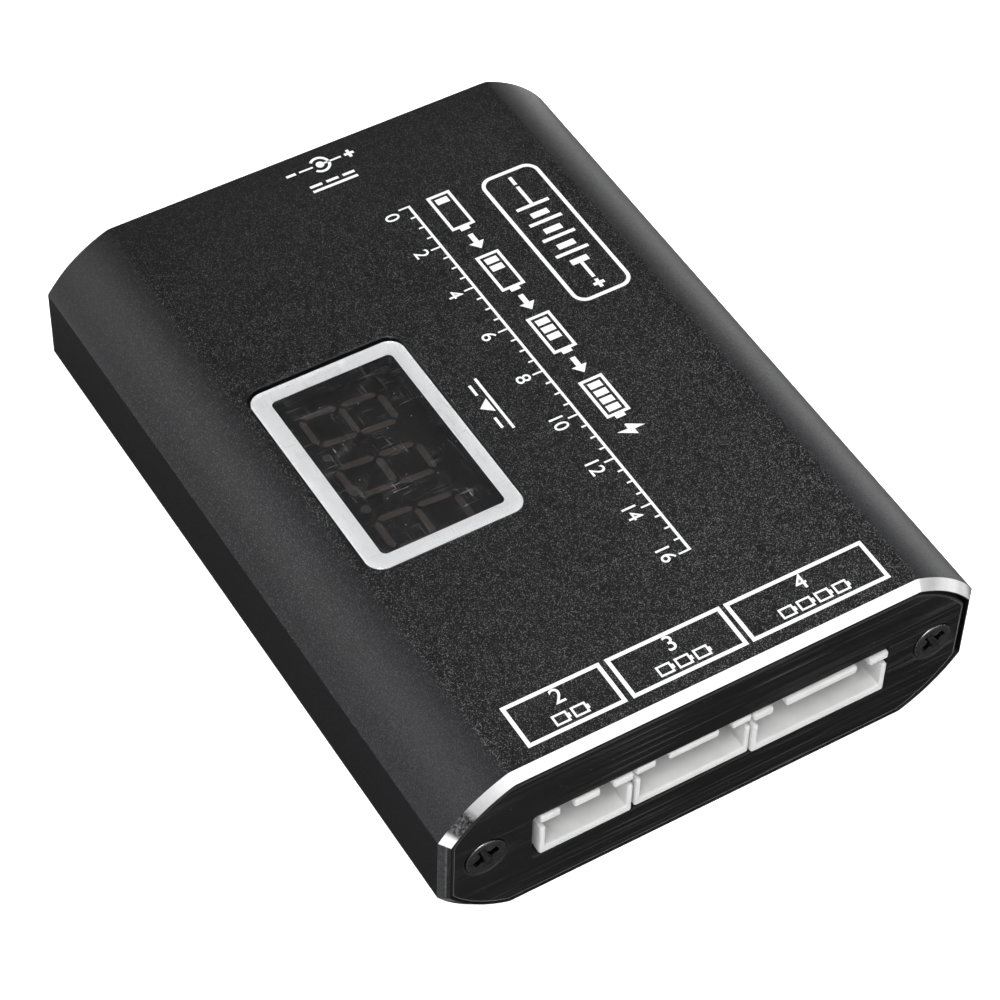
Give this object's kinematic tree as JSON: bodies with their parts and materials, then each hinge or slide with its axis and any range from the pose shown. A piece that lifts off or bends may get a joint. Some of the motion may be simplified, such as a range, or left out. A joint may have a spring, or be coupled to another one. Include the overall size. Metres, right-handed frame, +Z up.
{
  "type": "balance battery charger",
  "caption": "Flat extruded-aluminium balance charger with curved shoulders, bevelled rims, screwed end plates, shrouded pin sockets in front, a display window on top and a DC inlet behind.",
  "frame": {"origin": "centre of the bottom face, which rests on the table", "axes": "+Y along the tube from the socket end to the inlet end, +X to the right seen from the socket end, +Z up"},
  "size_m": [0.0588, 0.0803, 0.02],
  "materials": {
    "black_anodised": "bead-blasted black anodise with bright-cut rims",
    "black_brushed": "brushed lengthwise, black anodise",
    "black_steel": "black oxide",
    "white_nylon": "satin moulding",
    "tinned_brass": "tin plated",
    "clear_acrylic": "clear, polished",
    "white_ink": "printed white border",
    "black_foam": "adhesive foam",
    "display_black": "matt black face",
    "segment_brown": "tinted resin, unlit",
    "black_moulding": "glass-filled moulding",
    "spring_bronze": "plated spring strip",
    "green_board": "solder mask on glass-fibre laminate",
    "amber_film": "insulating film",
    "black_epoxy": "moulded epoxy",
    "ferrite": "sintered ferrite",
    "copper_wire": "enamelled copper wire",
    "capacitor_can": "sleeved can"
  },
  "bodies": {
    "charger": {"case_extrusion": "black_anodised", "front_plate": "black_brushed", "rear_plate": "black_brushed", "front_screws": "black_steel", "rear_screws": "black_steel", "socket_2cell": "white_nylon", "socket_3cell": "white_nylon", "socket_4cell": "white_nylon", "pins_2cell": "tinned_brass", "pins_3cell": "tinned_brass", "pins_4cell": "tinned_brass", "display_lens": "clear_acrylic", "lens_mask": "white_ink", "lens_gasket": "black_foam", "display_body": "display_black", "display_segments": "segment_brown", "display_pins": "tinned_brass", "jack_housing": "black_moulding", "jack_centre_pin": "tinned_brass", "jack_terminals": "tinned_brass", "main_board": "green_board", "insulation_sheet": "amber_film", "controller_chip": "black_epoxy", "controller_leads": "tinned_brass", "power_transistors": "black_epoxy", "inductor_core": "ferrite", "inductor_coil": "copper_wire", "capacitors": "capacitor_can", "balance_resistors": "black_epoxy", "input_diode": "black_epoxy", "voltage_regulator": "black_epoxy"},
    "jack_leaf": {"jack_spring": "spring_bronze"}
  },
  "joints": [
    {"name": "jack_leaf_flex", "type": "hinge", "parent": "charger", "child": "jack_leaf", "pos_m": [0.001, 0.0272, 0.009], "axis": [-1, 0, 0], "range_deg": [0, 5], "stiffness_Nm_per_rad": 0.05}
  ]
}
